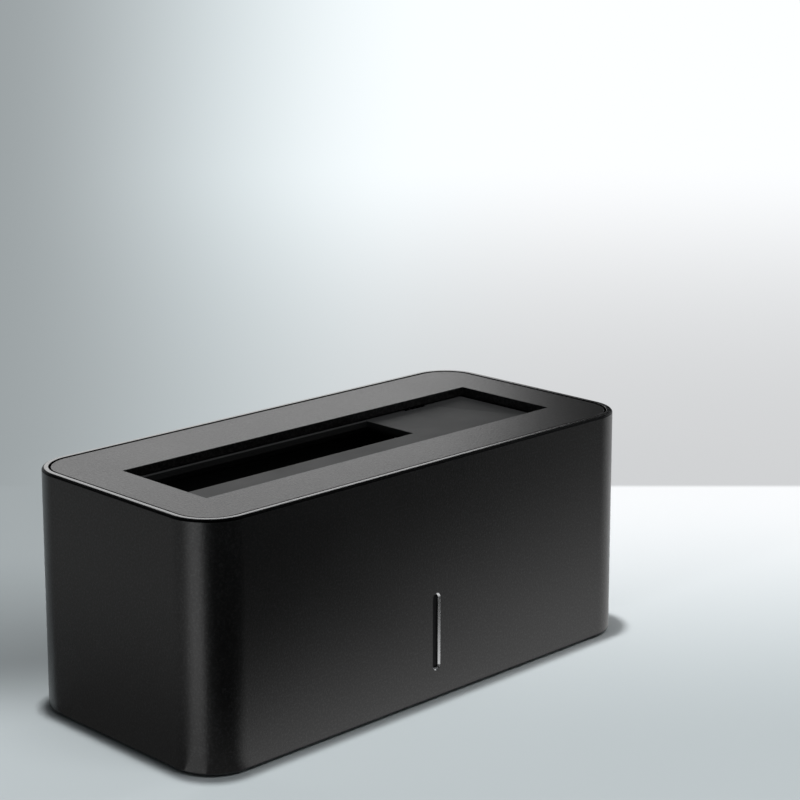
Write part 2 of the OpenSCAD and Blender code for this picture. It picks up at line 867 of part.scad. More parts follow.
button_out = back - 0.3;
button_round = 0.4;
button_flange = 0.8;
button_len = 5.5;
button_in = button_out - button_len;
button_socket = 2;
switch_w = 8.5;
plunger_w = 2.6;
switch_len = 8;
switch_well = 4.5;
switch_gap = 0.6;
switch_top = button_z + 3.6;
switch_back = button_in - button_travel - switch_gap;
switch_front = max(switch_back - switch_len, well_rear + socket_gap);

module switch_body() {
    color("#e8e6de")
        difference() {
            box([button_x - switch_w / 2, button_x + switch_w / 2], [switch_front, switch_back],
                [board_top, switch_top]);
            box([button_x - plunger_w / 2 - seat_gap, button_x + plunger_w / 2 + seat_gap],
                [switch_back - switch_well, switch_back + 1],
                [button_z - plunger_w / 2 - seat_gap, button_z + plunger_w / 2 + seat_gap]);
        }
}

module switch_plunger() {
    color("#c9c7c0")
        box([button_x - plunger_w / 2, button_x + plunger_w / 2],
            [switch_back - switch_well + button_travel + move_gap, button_in + button_socket],
            [button_z - plunger_w / 2, button_z + plunger_w / 2]);
}

module power_button() {
    socket = plunger_w / 2 + slip_gap;
    run = button_out - button_in;
    color("#17181a")
        difference() {
            translate([button_x, button_in, button_z])
                rotate([-90, 0, 0])
                    rotate_extrude()
                        union() {
                            square([button_r, run - button_round]);
                            square([button_r - button_round, run]);
                            translate([button_r - button_round, run - button_round])
                                circle(button_round);
                            translate([0, inner_back - flange_gap - button_flange - button_in])
                                square([button_r + button_flange, button_flange]);
                        }
            box([button_x - socket, button_x + socket], [button_in - 1, button_in + button_socket + seat_gap],
                [button_z - socket, button_z + socket]);
        }
}

// Parts on the board

chip_w = 9;
chip_h = 1.2;
chip_at = [board_w / 2 - 32, slot_mid - chip_w * 0.55];
crystal_w = 11;
crystal_d = 4.6;
crystal_h = 3.4;
inductor_w = 7.3;
inductor_h = 3.2;
capacitor_r = 3.15;
capacitor_h = 7.7;
capacitor_groove = 0.2;

module bridge_chip() {
    color("#111111")
        translate([chip_at[0], chip_at[1], board_top])
            linear_extrude(chip_h)
                rounded_rect(chip_w, chip_w, chip_w / 30);
}

module crystal() {
    color("silver")
        translate([chip_at[0] - chip_w / 2 - crystal_w, chip_at[1] - chip_w / 4, board_top])
            linear_extrude(crystal_h)
                rounded_rect(crystal_w, crystal_d, crystal_d / 2 - seat_gap);
}

module power_inductor() {
    color("#3a3a3a")
        translate([chip_at[0] + chip_w / 2 + 1.1 * inductor_w, slot_mid, board_top])
            linear_extrude(inductor_h)
                difference() {
                    rounded_rect(inductor_w, inductor_w, inductor_w / 6);
                    circle(inductor_w * 0.15);
                }
}

// An upright metal can with a groove round it
module capacitors() {
    groove_low = capacitor_h * 0.7;
    groove_high = groove_low + 2 * capacitor_groove;
    color("#d8d8d8")
        for (x = [-1, 1])
            translate([x * (port_window_w / 2 + 2 * capacitor_r), inner_back - 3 * capacitor_r, board_top])
                rotate_extrude()
                    union() {
                        square([capacitor_r, groove_low]);
                        square([capacitor_r - capacitor_groove, groove_high]);
                        translate([0, groove_high])
                            square([capacitor_r, capacitor_h - groove_high]);
                    }
}

// Status light

led_y = board_front + 2.6;
led_w = 3.5;
led_d = 2.8;
led_h = 1.6;

module status_led() {
    color("white")
        translate([0, led_y, board_top])
            linear_extrude(led_h)
                rounded_rect(led_w, led_d, led_h / 5);
}

module light_guide() {
    lip = slit_w;
    flange_w = slit_w + 2 * lip;
    flange_t = 1.5;
    arm_h = 2.4;
    guide_face = slit_bevel + slit_depth - back;
    guide_low = slit_low + seat_gap;
    guide_h = slit_h - 2 * seat_gap;
    guide_high = slit_low + slit_h + lip;
    foot_low = board_top + led_h + 0.3;
    color("#dfe6ee") {
        run_back(guide_face, flange_t / 3 - inner_back - guide_face)
            translate([0, guide_low + guide_h / 2])
                obround(slit_w - 2 * seat_gap, guide_h);
        run_back(-inner_back, flange_t)
            translate([0, (foot_low + guide_high) / 2])
                rounded_rect(flange_w, guide_high - foot_low, lip / 2);
        box([-flange_w / 2, flange_w / 2], [-inner_back + flange_t / 3, led_y + led_d / 2],
            [foot_low, foot_low + arm_h]);
    }
}

// Rear panel

module rear_panel() {
    lip = 1.6;
    lip_t = 1.3;
    color("#1b1c1e")
        difference() {
            union() {
                run_back(inner_back - 0.5, panel_t + 0.5)
                    translate([0, panel_mid_z])
                        rounded_rect(port_window_w - 2 * seat_gap, panel_h - 2 * seat_gap, 3 - seat_gap);
                run_back(inner_back - lip_t, lip_t)
                    translate([0, panel_mid_z])
                        rounded_rect(port_window_w + 2 * lip, panel_h + 2 * lip - 1, 3);
            }
            run_back(inner_back - lip_t - 1, lip_t + 1)
                translate([0, panel_mid_z])
                    rounded_rect(port_window_w - 4, panel_h - 2, 2);
            translate([0, 0, board_top])
                run_back(inner_back - 5, 10)
                    usb_outline(-seat_gap);
            for (hole = [[jack_x, jack_z, jack_collar_r + seat_gap], [button_x, button_z, button_r + 0.25]])
                translate([hole[0], back + 1, hole[1]])
                    rotate([90, 0, 0])
                        cylinder(r = hole[2], h = 10);
        }
}

outer_shell();
top_plate();
plate_screws();
slot_liner();
dust_flap();
hinge_pin();
flap_spring();
base_plate();
base_screws();
rubber_feet();
main_board();
board_screws();
sata_receptacle();
sata_contacts();
usb_socket_shell();
usb_socket_core();
usb_contacts();
jack_housing();
jack_pin();
jack_contact();
switch_body();
switch_plunger();
power_button();
bridge_chip();
crystal();
power_inductor();
capacitors();
status_led();
light_guide();
rear_panel();
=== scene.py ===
"""Looks of an upright docking station: a black anodised shell with a bare rim, a satin top plate
with its slot and dust flap, and a sunk panel with the sockets and the button at the back.
Lengths are in metres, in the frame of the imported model."""

import json
import math

import bmesh
import bpy
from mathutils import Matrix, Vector


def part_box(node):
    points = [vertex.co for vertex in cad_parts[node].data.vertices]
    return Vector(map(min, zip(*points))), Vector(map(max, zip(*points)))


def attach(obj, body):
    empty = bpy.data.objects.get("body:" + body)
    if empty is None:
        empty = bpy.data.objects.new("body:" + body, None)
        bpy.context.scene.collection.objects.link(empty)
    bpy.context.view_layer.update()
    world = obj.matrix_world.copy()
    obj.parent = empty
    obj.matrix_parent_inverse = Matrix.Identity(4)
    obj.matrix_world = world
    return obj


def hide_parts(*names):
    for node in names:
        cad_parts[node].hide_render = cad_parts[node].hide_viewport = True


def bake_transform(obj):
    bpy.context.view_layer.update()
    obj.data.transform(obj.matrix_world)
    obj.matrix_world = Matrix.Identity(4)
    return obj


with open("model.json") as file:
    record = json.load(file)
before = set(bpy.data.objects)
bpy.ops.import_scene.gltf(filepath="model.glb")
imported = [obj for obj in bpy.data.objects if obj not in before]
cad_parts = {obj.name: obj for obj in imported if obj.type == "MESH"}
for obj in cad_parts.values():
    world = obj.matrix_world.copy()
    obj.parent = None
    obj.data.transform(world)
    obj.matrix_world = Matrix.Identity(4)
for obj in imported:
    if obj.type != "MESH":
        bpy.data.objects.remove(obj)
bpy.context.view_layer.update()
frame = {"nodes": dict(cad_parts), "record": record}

MM = 0.001

# Boxes of the solids that several pieces and finishes go by
SHELL_LOW, SHELL_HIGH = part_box("outer_shell")
BOARD_LOW, BOARD_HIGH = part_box("main_board")

# Sizes of the housing, as in the solids
CORNER_R = 10.5 * MM
WALL = 2.8 * MM
RIM = 1.5 * MM
PLATE_T = 2.0 * MM
PLATE_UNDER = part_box("top_plate")[1].z - PLATE_T
BASE_TOP = 2.6 * MM
FLAP_T = 1.6 * MM

# The light slit in the front wall
SLIT_W = 1.6 * MM
SLIT_H = 17.5 * MM
SLIT_MIDDLE = 16.25 * MM
SLIT_BEVEL = 0.45 * MM

# The window in the back wall
PORT_W = 74 * MM
PORT_H = 15.4 * MM
PORT_MIDDLE = 12.3 * MM
PORT_R = 3 * MM
PORT_EASE = 0.15 * MM

QUARTER = math.pi / 2
# An edge that turns more than this stays sharp
CREASE = math.radians(28)


# Camera: lengths of the picture in its pixels, and angles in degrees

PICTURE_PX = 800
FOCAL_PX = 2170
SHIFT_PX = 120
SENSOR_W = 36
CAMERA_PLACE = Vector((-332.2, -357.7, 189.8)) * MM
CAMERA_DOWN = 11.24
CAMERA_BEARING = 44.5


def make_camera():
    data = bpy.data.cameras.new("camera")
    data.sensor_width = SENSOR_W
    data.lens = SENSOR_W * FOCAL_PX / PICTURE_PX
    data.shift_y = -SHIFT_PX / PICTURE_PX
    data.clip_start = 0.02
    data.clip_end = 20
    camera = bpy.data.objects.new("camera", data)
    camera.location = CAMERA_PLACE
    camera.rotation_euler = (math.radians(90 - CAMERA_DOWN), 0, math.radians(-CAMERA_BEARING))
    bpy.context.scene.collection.objects.link(camera)
    bpy.context.scene.camera = camera


make_camera()


# Node trees

class Value:
    """One output of a node. A sum or product of values adds its Math node."""

    def __init__(self, tree, socket):
        self.tree = tree
        self.socket = socket

    def out(self, name):
        return Value(self.tree, self.socket.node.outputs[name])

    def maths(self, operation, *values):
        return self.tree.add("ShaderNodeMath", {"operation": operation}, values)

    def __add__(self, other):
        return self.maths("ADD", self, other)

    def __sub__(self, other):
        return self.maths("SUBTRACT", self, other)

    def __rsub__(self, other):
        return self.maths("SUBTRACT", other, self)

    def __mul__(self, other):
        return self.maths("MULTIPLY", self, other)

    def __truediv__(self, other):
        return self.maths("DIVIDE", self, other)

    __radd__ = __add__
    __rmul__ = __mul__

    def unsigned(self):
        return self.maths("ABSOLUTE", self)

    def root(self):
        return self.maths("SQRT", self)

    def at_least(self, low):
        return self.maths("MAXIMUM", self, low)

    def at_most(self, high):
        return self.maths("MINIMUM", self, high)

    def floor(self):
        return self.maths("FLOOR", self)

    def sign(self):
        return self.maths("SIGN", self)

    def sine(self):
        return self.maths("SINE", self)

    def cosine(self):
        return self.maths("COSINE", self)

    def wrapped(self, length):
        """Up to the length and back down again, over and over"""
        return self.maths("PINGPONG", self, length)

    def over(self, low, high):
        """0 below low, 1 above high, and a smooth step between them"""
        soft = {"interpolation_type": "SMOOTHSTEP"}
        return self.tree.add("ShaderNodeMapRange", soft, [self, low, high])

    def within(self, reach, soft):
        """1 as far as the reach to both sides of 0, and 0 past a soft edge"""
        return 1 - self.unsigned().over(reach, reach + soft)

    def level(self, start, *steps):
        """A level that starts at one value. Each step says where it changes, and by how much"""
        for low, high, change in steps:
            start = start + self.over(low, high) * change
        return start

    def towards(self, other, share):
        """This value where the share is 0 and the other where it is 1"""
        return self + (other - self) * share

    def is_number(self):
        return self.socket.type in ("VALUE", "INT")


class Tree:
    """A node tree and the one method that adds any node to it."""

    def __init__(self, tree):
        self.tree = tree

    def plug(self, socket, value):
        if isinstance(value, list):
            for each in value:
                self.plug(socket, each)
        elif isinstance(value, Value):
            self.tree.links.new(value.socket, socket)
        else:
            socket.default_value = value

    def add(self, kind, settings=None, sockets=(), output=0):
        """A node: its settings, a switch's number of choices, and its sockets by name or in order"""
        node = self.tree.nodes.new(kind)
        for name, value in (settings or {}).items():
            if name == "choices":
                while len(node.index_switch_items) < value:
                    node.index_switch_items.new()
            else:
                setattr(node, name, value)
        for key, value in sockets.items() if isinstance(sockets, dict) else enumerate(sockets):
            self.plug(node.inputs[key], value)
        return Value(self, node.outputs[output])


class Finish(Tree):
    """A material with one Principled shader. Patterns read the piece's own coordinates."""

    def __init__(self, name):
        self.material = bpy.data.materials.new(name)
        self.material.use_nodes = True
        super().__init__(self.material.node_tree)
        self.shader = self.tree.nodes["Principled BSDF"]
        self.surface = self.tree.nodes["Material Output"].inputs["Surface"]
        self.place = self.add("ShaderNodeTexCoord", output="Object")

    def scaled(self, x, y, z):
        return self.add("ShaderNodeMapping", {}, {"Vector": self.place, "Scale": (x, y, z)})

    def axes(self):
        parts = self.add("ShaderNodeSeparateXYZ", {}, [self.place])
        return parts, parts.out("Y"), parts.out("Z")

    def noise(self, size, detail=2, roughness=0.5, place=None):
        """Soft noise whose blobs are about one size across"""
        sockets = {"Scale": 1 / size, "Detail": detail, "Roughness": roughness}
        return self.add("ShaderNodeTexNoise", {}, {"Vector": place or self.place, **sockets})

    def cells(self, size):
        return self.add("ShaderNodeTexVoronoi", {}, {"Vector": self.place, "Scale": 1 / size})

    def mix(self, share, first, second):
        """The first colour where the share is 0 and the second where it is 1"""
        sockets = {0: share, 6: first, 7: second}
        return self.add("ShaderNodeMix", {"data_type": "RGBA"}, sockets, output=2)

    def bump(self, height, depth, strength):
        sockets = {"Height": height, "Distance": depth, "Strength": strength}
        return self.add("ShaderNodeBump", {}, sockets)

    def emission(self, **sockets):
        return self.add("ShaderNodeEmission", {}, sockets)

    def shade(self, **sockets):
        for name, value in sockets.items():
            label = name.replace("_", " ").title().replace("Ior", "IOR")
            self.plug(self.shader.inputs[label], value)


def grey(level, tint=0.0):
    """A grey, a little cooler with a positive tint"""
    return (level * (1 - tint), level, level * (1 + tint), 1)


# Finishes

# The tint of the black pieces, and how far gloss differs over a moulded face
COOL = 0.02
GLOSS_SPREAD = 0.12


def anodised_black():
    """Blasted and black anodised aluminium. The flat of the rim and the slit's bevel are bare. The
    round of the rim is a painted dark reflection: black metal that mirrors nothing
    """
    f = Finish("anodised_black")
    x, y, z = f.axes()
    grain = f.noise(0.14 * MM, detail=3, roughness=0.6)
    blast = f.noise(0.42 * MM, detail=2, roughness=0.6)
    cloud = f.noise(18 * MM, detail=3)
    flecks = f.noise(0.5 * MM, detail=2, roughness=0.7).over(0.46, 0.66)
    turned = f.noise(0.4 * MM, detail=2)

    into_wall = y - SHELL_LOW.y
    bevel_ends = SLIT_BEVEL - 0.01 * MM, SLIT_BEVEL + 0.02 * MM
    at_bevel = into_wall.over(0.02 * MM, 0.05 * MM) * (1 - into_wall.over(*bevel_ends))
    by_width = x.within(SLIT_W / 2 + SLIT_BEVEL + 0.05 * MM, 0.04 * MM)
    by_height = (z - SLIT_MIDDLE).within(SLIT_H / 2 + SLIT_BEVEL + 0.5 * MM, 0.2 * MM)
    bevel = at_bevel * by_width * by_height

    top = SHELL_HIGH.z
    rim_flat = z.over(top - 0.03 * MM, top - 0.01 * MM)
    # Painted dark reflection: the round of the rim is black metal that mirrors nothing, a black band
    # under the flat
    rim_round_painted_black = z.over(top - 0.60 * MM, top - 0.54 * MM) * (1 - rim_flat)
    bare = rim_flat + bevel
    covered = 1 - bare - rim_round_painted_black

    speckle = flecks * 0.7 + grain * 0.2 + cloud * 0.1
    black = f.mix(speckle, grey(0.001, COOL), grey(0.012, COOL))
    metal = f.mix(bevel, grey(0.26, COOL / 2), grey(0.92, COOL / 2))
    satin = 0.20 + grain * 0.10 + blast * 0.06 + cloud * 0.05
    height = (grain * 0.3 + blast * 0.7) * (1 - bevel)
    f.shade(
        base_color=f.mix(bare, black, metal),
        ior=1.74,
        metallic=bare + rim_round_painted_black + covered * (1 - flecks) * 0.14,
        roughness=satin + bare * (turned * 0.1 - 0.10) + rim_round_painted_black * 0.2,
        normal=f.bump(height, depth=0.09 * MM, strength=0.5),
    )
    return f.material


def plate_satin():
    """Moulded plate with the fine, even texture of a spark-eroded tool"""
    f = Finish("plate_satin")
    pits = f.cells(0.5 * MM)
    grain = f.noise(0.4 * MM, detail=4, roughness=0.7)
    flecks = f.noise(0.6 * MM, detail=2, roughness=0.7).over(0.44, 0.62)
    cloud = f.noise(26 * MM, detail=3)
    height = grain * 0.7 + pits * 0.5
    f.shade(
        base_color=f.mix(flecks * 0.7 + cloud * 0.3, grey(0.003), grey(0.020)),
        metallic=(1 - flecks) * 0.22,
        roughness=0.20 + grain * 0.18 + cloud * 0.05,
        normal=f.bump(height, depth=0.1 * MM, strength=0.5),
    )
    return f.material


def moulded(name, dark, light, grain_size, depth, roughness, shine=0.5):
    """Black moulded plastic with a textured skin, a little worn shiny in patches"""
    f = Finish(name)
    grain = f.noise(grain_size, detail=3, roughness=0.6)
    cloud = f.noise(60 * grain_size, detail=2)
    f.shade(
        base_color=f.mix(grain * 0.5 + cloud * 0.5, grey(dark, COOL), grey(light, COOL)),
        roughness=roughness + (grain + cloud - 1) * GLOSS_SPREAD,
        specular_ior_level=shine,
        normal=f.bump(grain, depth, strength=0.6),
    )
    return f.material


def foot_rubber():
    f = Finish("foot_rubber")
    grain = f.noise(0.3 * MM, detail=4, roughness=0.7)
    dust = f.noise(3 * MM, detail=4, roughness=0.7).over(0.52, 0.72)
    f.shade(
        base_color=f.mix(dust * 0.5, grey(0.012), grey(0.06, -COOL)),
        roughness=0.72 + grain * 0.2,
        normal=f.bump(grain, depth=0.03 * MM, strength=0.6),
    )
    return f.material


def steel(name, tone, roughness=0.24, drawn=(1, 1, 1)):
    """Plated or drawn steel. Its fine lines run along the axis with the small scale"""
    f = Finish(name)
    lines = f.noise(0.12 * MM, detail=3, place=f.scaled(*drawn))
    stain = f.noise(2.5 * MM, detail=4, roughness=0.6)
    dull, clean = grey(tone * 0.82, COOL / 2), grey(tone, COOL / 2)
    f.shade(
        base_color=f.mix(stain * 0.6 + lines * 0.4, dull, clean),
        metallic=1.0,
        roughness=roughness + lines * 0.14 + stain * 0.1,
        normal=f.bump(lines, depth=0.004 * MM, strength=0.5),
    )
    return f.material


def board_mask():
    """Solder mask over copper tracks, with the weave of the glass cloth just showing"""
    f = Finish("board_mask")
    x, y, z = f.axes()
    bend = f.noise(16 * MM, detail=0) * (9 * MM)
    track = (y + bend).wrapped(1.1 * MM).over(0.36 * MM, 0.44 * MM)
    pour = f.noise(24 * MM, detail=0).over(0.49, 0.51)
    copper = track.at_least(pour)
    thread = 0.5 * MM
    weave = x.wrapped(thread) + y.wrapped(thread)
    from_below = z.over(BOARD_LOW.z + 0.1 * MM, BOARD_LOW.z + 0.2 * MM)
    edge = from_below - z.over(BOARD_HIGH.z - 0.2 * MM, BOARD_HIGH.z - 0.1 * MM)
    mask = f.mix(copper, (0.004, 0.045, 0.016, 1), (0.012, 0.12, 0.045, 1))
    f.shade(
        base_color=f.mix(edge, mask, (0.11, 0.12, 0.05, 1)),
        roughness=0.28 + f.noise(0.8 * MM) * 0.12,
        coat_weight=0.4,
        normal=f.bump(copper + weave * 300, depth=0.03 * MM, strength=0.4),
    )
    return f.material


def contact_gold():
    f = Finish("contact_gold")
    wear = f.noise(0.8 * MM, detail=3).over(0.45, 0.7)
    f.shade(
        base_color=f.mix(wear, (0.83, 0.58, 0.22, 1), (0.70, 0.60, 0.42, 1)),
        metallic=1.0,
        roughness=0.2 + wear * 0.15,
    )
    return f.material


def coloured_plastic(name, dark, light, roughness=0.35):
    """A plain moulded plastic of one colour, with flow marks and a fine skin"""
    f = Finish(name)
    flow = f.noise(2.2 * MM, detail=3, place=f.scaled(1, 0.3, 1))
    grain = f.noise(0.18 * MM, detail=2)
    f.shade(
        base_color=f.mix(flow, (*dark, 1), (*light, 1)),
        roughness=roughness + (grain - 0.5) * GLOSS_SPREAD,
        normal=f.bump(grain, depth=0.008 * MM, strength=0.5),
    )
    return f.material


def guide_smoked():
    """Smoked light guide with a matt face, black while its light is off"""
    f = Finish("guide_smoked")
    haze = f.noise(1.5 * MM, detail=3)
    f.shade(
        base_color=f.mix(haze, (0.003, 0.003, 0.004, 1), (0.007, 0.007, 0.008, 1)),
        roughness=0.45 + haze * 0.16,
        transmission_weight=0.3,
        specular_ior_level=0.1,
        ior=1.49,
    )
    return f.material


# Black plastics: dark and light tone, size and depth of the grain, roughness, and a low shine
MOULDED = {
    "inner_plastic": (0.009, 0.017, 0.25 * MM, 0.02 * MM, 0.55, 0.3),
    "flap_plastic": (0.012, 0.020, 0.18 * MM, 0.02 * MM, 0.5, 0.25),
    "base_plastic": (0.012, 0.022, 0.45 * MM, 0.05 * MM, 0.6),
    "button_plastic": (0.012, 0.018, 0.12 * MM, 0.004 * MM, 0.3),
    "connector_black": (0.009, 0.014, 0.15 * MM, 0.006 * MM, 0.36),
    "chip_black": (0.010, 0.018, 0.12 * MM, 0.01 * MM, 0.55),
}

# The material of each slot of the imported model
FINISHES = {
    "shell_anodised": anodised_black(),
    "plate_satin": plate_satin(),
    **{name: moulded(name, *levels) for name, levels in MOULDED.items()},
    "screw_steel": steel("screw_steel", 0.55),
    "dark_screw": steel("dark_screw", 0.06, roughness=0.34),
    "pin_steel": steel("pin_steel", 0.6, drawn=(0.05, 1, 1)),
    "spring_steel": steel("spring_steel", 0.5, roughness=0.28),
    "socket_steel": steel("socket_steel", 0.64, roughness=0.2, drawn=(1, 0.06, 1)),
    "can_aluminium": steel("can_aluminium", 0.72, roughness=0.26, drawn=(1, 1, 0.06)),
    "foot_rubber": foot_rubber(),
    "board_green": board_mask(),
    "contact_gold": contact_gold(),
    "socket_blue": coloured_plastic("socket_blue", (0.006, 0.030, 0.19), (0.012, 0.055, 0.30)),
    "switch_cream": coloured_plastic("switch_cream", (0.50, 0.47, 0.40), (0.62, 0.59, 0.52)),
    "led_white": coloured_plastic("led_white", (0.68, 0.69, 0.64), (0.82, 0.82, 0.76), 0.25),
    "guide_clear": guide_smoked(),
}

SLOT_OF = {row["node"]: row["material_slot"] for row in frame["record"]["subparts"]}
BODIES = frame["record"]["behaviour"]["bodies"]
BODY_OF = {node: body for body, nodes in BODIES.items() for node in nodes}


# Shapes by rule

class Shape(Tree):
    """A Geometry Nodes tree with named sizes. It ends in Realize Instances and Set Material."""

    def __init__(self, name):
        super().__init__(bpy.data.node_groups.new(name, "GeometryNodeTree"))
        self.inlet = self.tree.nodes.new("NodeGroupInput")
        self.given = {}
        self.new_socket("Shape", "OUTPUT", "NodeSocketGeometry")

    def new_socket(self, name, in_out, kind):
        return self.tree.interface.new_socket(name, in_out=in_out, socket_type=kind)

    def inlet_of(self, name, kind):
        return self.new_socket(name, "INPUT", kind), Value(self, self.inlet.outputs[name])

    def size(self, name, value):
        """A named input of the tree, in metres"""
        socket, inlet = self.inlet_of(name, "NodeSocketFloat")
        self.given[socket.identifier] = value
        return inlet

    def vector(self, x, y, z=0.0):
        return self.add("ShaderNodeCombineXYZ", {}, [x, y, z])

    def index(self):
        return self.add("GeometryNodeInputIndex")

    def pick(self, number, values):
        """The value of a list that the number names"""
        plain = isinstance(values[0], (int, float)) or values[0].is_number()
        settings = {"data_type": "FLOAT" if plain else "VECTOR", "choices": len(values)}
        return self.add("GeometryNodeIndexSwitch", settings, [number, *values])

    def moved(self, shape, to):
        return self.add("GeometryNodeSetPosition", {}, {"Geometry": shape, "Position": to})

    def shifted(self, shape, by, turn=(0, 0, 0)):
        sockets = {0: shape, "Translation": by, "Rotation": turn}
        return self.add("GeometryNodeTransform", {}, sockets)

    def block(self, size):
        return self.add("GeometryNodeMeshCube", {}, {"Size": size})

    def joined(self, *shapes):
        return self.add("GeometryNodeJoinGeometry", {}, [list(shapes)])

    def cut(self, shape, *tools):
        sockets = {"Mesh 1": shape, "Mesh 2": list(tools)}
        return self.add("GeometryNodeMeshBoolean", {"solver": "EXACT"}, sockets)

    def points(self, count, place):
        return self.add("GeometryNodePoints", {}, {"Count": count, "Position": place})

    def open_path(self, count, place):
        return self.add("GeometryNodePointsToCurves", {}, [self.points(count, place)])

    def closed_path(self, count, place):
        sockets = {"Geometry": self.open_path(count, place), "Cyclic": True}
        return self.add("GeometryNodeSetSplineCyclic", {}, sockets)

    def filleted(self, path, radius, steps):
        sockets = {"Curve": path, "Count": steps, "Radius": radius, "Limit Radius": True}
        return self.add("GeometryNodeFilletCurve", {"mode": "POLY"}, sockets)

    def outline(self, corners, rounds, steps):
        """A closed outline through corners, each with its own round"""
        number = self.index()
        places = [self.vector(*place) for place in corners]
        sharp = self.closed_path(len(corners), self.pick(number, places))
        return self.filleted(sharp, self.pick(number, rounds), steps)

    def circle(self, radius, sides):
        sockets = {"Resolution": sides, "Radius": radius}
        return self.add("GeometryNodeCurvePrimitiveCircle", {}, sockets)

    def swept(self, path, section):
        sockets = {"Curve": path, "Profile Curve": section, "Fill Caps": True}
        return self.add("GeometryNodeCurveToMesh", {}, sockets)

    def bar(self, corners, rounds, thickness, steps):
        """A flat shape given in depth and height, run along X"""
        ends = {"Start": (-thickness / 2, 0, 0), "End": (thickness / 2, 0, 0)}
        path = self.add("GeometryNodeCurvePrimitiveLine", {}, ends)
        return self.swept(path, self.outline([(-y, -z) for y, z in corners], rounds, steps))

    def corner_points(self, steps):
        """The number of points of a rounded corner: its arc, and a support on each side"""
        return steps + 3

    def rounded_place(self, number, width, height, radius, steps, support=0.0):
        """Where a numbered point of a rounded rectangle lies. Its supports keep the sides flat"""
        per_corner = self.corner_points(steps)
        corner = (number / per_corner).floor()
        step = number - corner * per_corner - 1
        on_arc = step.at_least(0).at_most(steps)
        turn = (corner + on_arc / steps) * QUARTER
        beside = (step - on_arc) * support
        middle = (corner + 0.5) * QUARTER
        axis_x = middle.cosine().sign() * (width / 2 - radius)
        axis_y = middle.sine().sign() * (height / 2 - radius)
        x = axis_x + turn.cosine() * radius - turn.sine() * beside
        y = axis_y + turn.sine() * radius + turn.cosine() * beside
        return x, y

    def rings(self, count, levels):
        """A closed tube, with each point's number in its ring, and its ring's from the top"""
        sockets = {"Vertices": count, "Side Segments": levels - 1, "Radius": 1.0, "Depth": 1.0}
        tube = self.add("GeometryNodeMeshCylinder", {"fill_type": "NGON"}, sockets)
        number = self.index()
        ring = ((number + 0.5) / count).floor()
        return tube, number - ring * count, ring

    def turned(self, profile, count):
        """A round body given by its radii and heights from the top down"""
        tube, number, ring = self.rings(count, len(profile))
        radius = self.pick(ring, [row[0] for row in profile])
        turn = number * (2 * math.pi / count)
        height = self.pick(ring, [row[1] for row in profile])
        return self.moved(tube, self.vector(turn.cosine() * radius, turn.sine() * radius, height))

    def window(self, width, height, radius, middle, levels, steps):
        """The block that cuts a window front to back. A level is a place, and how much it widens"""
        tube, number, ring = self.rings(4 * self.corner_points(steps), len(levels))
        wider = self.pick(ring, [row[1] for row in levels])
        sizes = width + wider * 2, height + wider * 2, radius + wider
        x, z = self.rounded_place(number, *sizes, steps)
        y = self.pick(ring, [row[0] for row in levels])
        block = self.moved(tube, self.vector(x, y, z + middle))
        sockets = {"Geometry": block, "Distance": 0.001 * MM}
        return self.add("GeometryNodeMergeByDistance", {}, sockets)

    def placed(self, shape, count, place, turn=(0, 0, 0)):
        sockets = {"Points": self.points(count, place), "Instance": shape, "Rotation": turn}
        return self.add("GeometryNodeInstanceOnPoints", {}, sockets)

    def at_four(self, shape, low, high, inset):
        """A copy at each of four places, set in from the corners of a box"""
        number = self.index()
        row = (number / 2).floor()
        column = number - row * 2
        x = low.x + inset + (high.x - low.x - 2 * inset) * column
        y = low.y + inset + (high.y - low.y - 2 * inset) * row
        return self.placed(shape, 4, self.vector(x, y))

    def made(self, name, shape, finish, path=None):
        """The plain mesh piece that the tree gives, smooth but for its creases"""
        real = self.add("GeometryNodeRealizeInstances", {}, [shape])
        angle = self.add("GeometryNodeInputMeshEdgeAngle")
        round_edge = self.add("FunctionNodeCompare", {"operation": "LESS_THAN"}, [angle, CREASE])
        sockets = {0: real, "Shade Smooth": round_edge}
        smooth = self.add("GeometryNodeSetShadeSmooth", {"domain": "EDGE"}, sockets)
        sockets = {"Geometry": smooth, "Material": finish}
        outlet = self.tree.nodes.new("NodeGroupOutput")
        self.plug(outlet.inputs[0], self.add("GeometryNodeSetMaterial", {}, sockets))
        carrier = bpy.data.objects.new(name + "_rule", path or bpy.data.meshes.new(name + "_rule"))
        bpy.context.scene.collection.objects.link(carrier)
        modifier = carrier.modifiers.new(name, "NODES")
        modifier.node_group = self.tree
        for identifier, value in self.given.items():
            modifier[identifier] = value
        settled = carrier.evaluated_get(bpy.context.evaluated_depsgraph_get())
        mesh = bpy.data.meshes.new_from_object(settled)
        mesh.name = name
        mesh.materials.clear()
        mesh.materials.append(finish)
        mesh.polygons.foreach_set("material_index", [0] * len(mesh.polygons))
        bpy.data.objects.remove(carrier)
        return linked(name, mesh)


def linked(name, mesh):
    """A new object of the scene with this mesh"""
    piece = bpy.data.objects.new(name, mesh)
    bpy.context.scene.collection.objects.link(piece)
    return piece


# Pieces dressed from the solids

def welded_copy(node):
    """A copy of a solid's mesh with its loose triangles joined"""
    mesh = frame["nodes"][node].data.copy()
    mesh.name = node + "_dressed"
    mesh.materials.clear()
    mesh.materials.append(FINISHES[SLOT_OF[node]])
    shape = bmesh.new()
    shape.from_mesh(mesh)
    bmesh.ops.remove_doubles(shape, verts=shape.verts, dist=0.0005 * MM)
    flat = math.radians(0.5)
    bmesh.ops.dissolve_limit(shape, angle_limit=flat, verts=shape.verts, edges=shape.edges)
    shape.to_mesh(mesh)
    shape.free()
    return linked(node + "_dressed", mesh)


def smoothed(piece):
    """Round faces shade smoothly, and edges sharper than the crease stay sharp"""
    shape = bmesh.new()
    shape.from_mesh(piece.data)
    for face in shape.faces:
        face.smooth = True
    for edge in shape.edges:
        edge.smooth = len(edge.link_faces) == 2 and edge.calc_face_angle(0) < CREASE
    shape.to_mesh(piece.data)
    shape.free()


